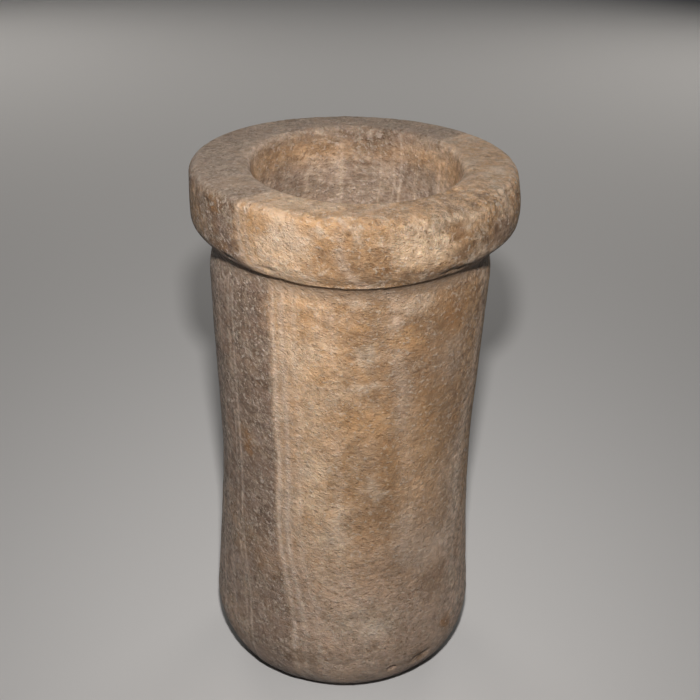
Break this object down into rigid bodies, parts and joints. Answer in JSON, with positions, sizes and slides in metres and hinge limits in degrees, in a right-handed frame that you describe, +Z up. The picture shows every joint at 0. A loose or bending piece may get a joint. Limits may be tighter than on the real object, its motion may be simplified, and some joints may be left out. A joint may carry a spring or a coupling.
{
  "type": "alabaster cylinder jar",
  "caption": "Tall open cylinder jar carved from banded calcite, with a waisted body, a thick collar rim and a deep drilled hollow.",
  "frame": {"origin": "centre of the flat underside, on the surface that the jar stands on", "axes": "+Z up along the body's axis, out of the mouth; -Y towards the front face; +X to the right seen from the front"},
  "size_m": [0.1055, 0.1047, 0.18],
  "materials": {
    "alabaster": "worn, satin-matt banded calcite: warm tan with cream veins, grey-mauve bands and orange-brown stains, finely pitted"
  },
  "bodies": {
    "root": {"jar": "alabaster"}
  },
  "joints": []
}
